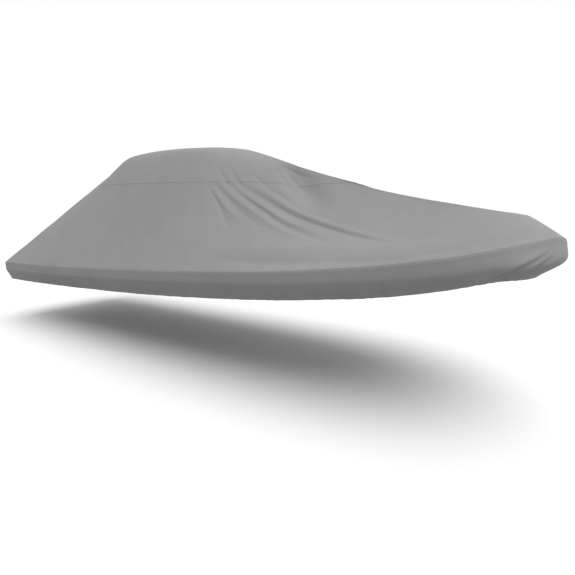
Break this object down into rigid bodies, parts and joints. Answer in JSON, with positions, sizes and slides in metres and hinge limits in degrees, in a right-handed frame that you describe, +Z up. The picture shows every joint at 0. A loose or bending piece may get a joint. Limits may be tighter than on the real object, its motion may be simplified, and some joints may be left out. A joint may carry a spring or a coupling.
{
  "type": "boat cover",
  "caption": "Fitted towing cover for a boat with a tall console: sewn cloth panels tented over the top, with a skirt drawn in under the gunwale by an elastic hem.",
  "frame": {"origin": "under the cloth at the highest part of the crown, on the centreline, where the console's roof carries the cover", "axes": "+X towards the bow, +Y to port, +Z up"},
  "size_m": [8.6879, 2.5, 2.1674],
  "materials": {
    "cover_cloth": "matt coated polyester, fine plain weave, mid grey"
  },
  "bodies": {
    "root": {"crown": "cover_cloth", "side_panel_starboard": "cover_cloth", "side_panel_port": "cover_cloth", "skirt_panel_starboard": "cover_cloth", "skirt_panel_port": "cover_cloth"}
  },
  "joints": []
}
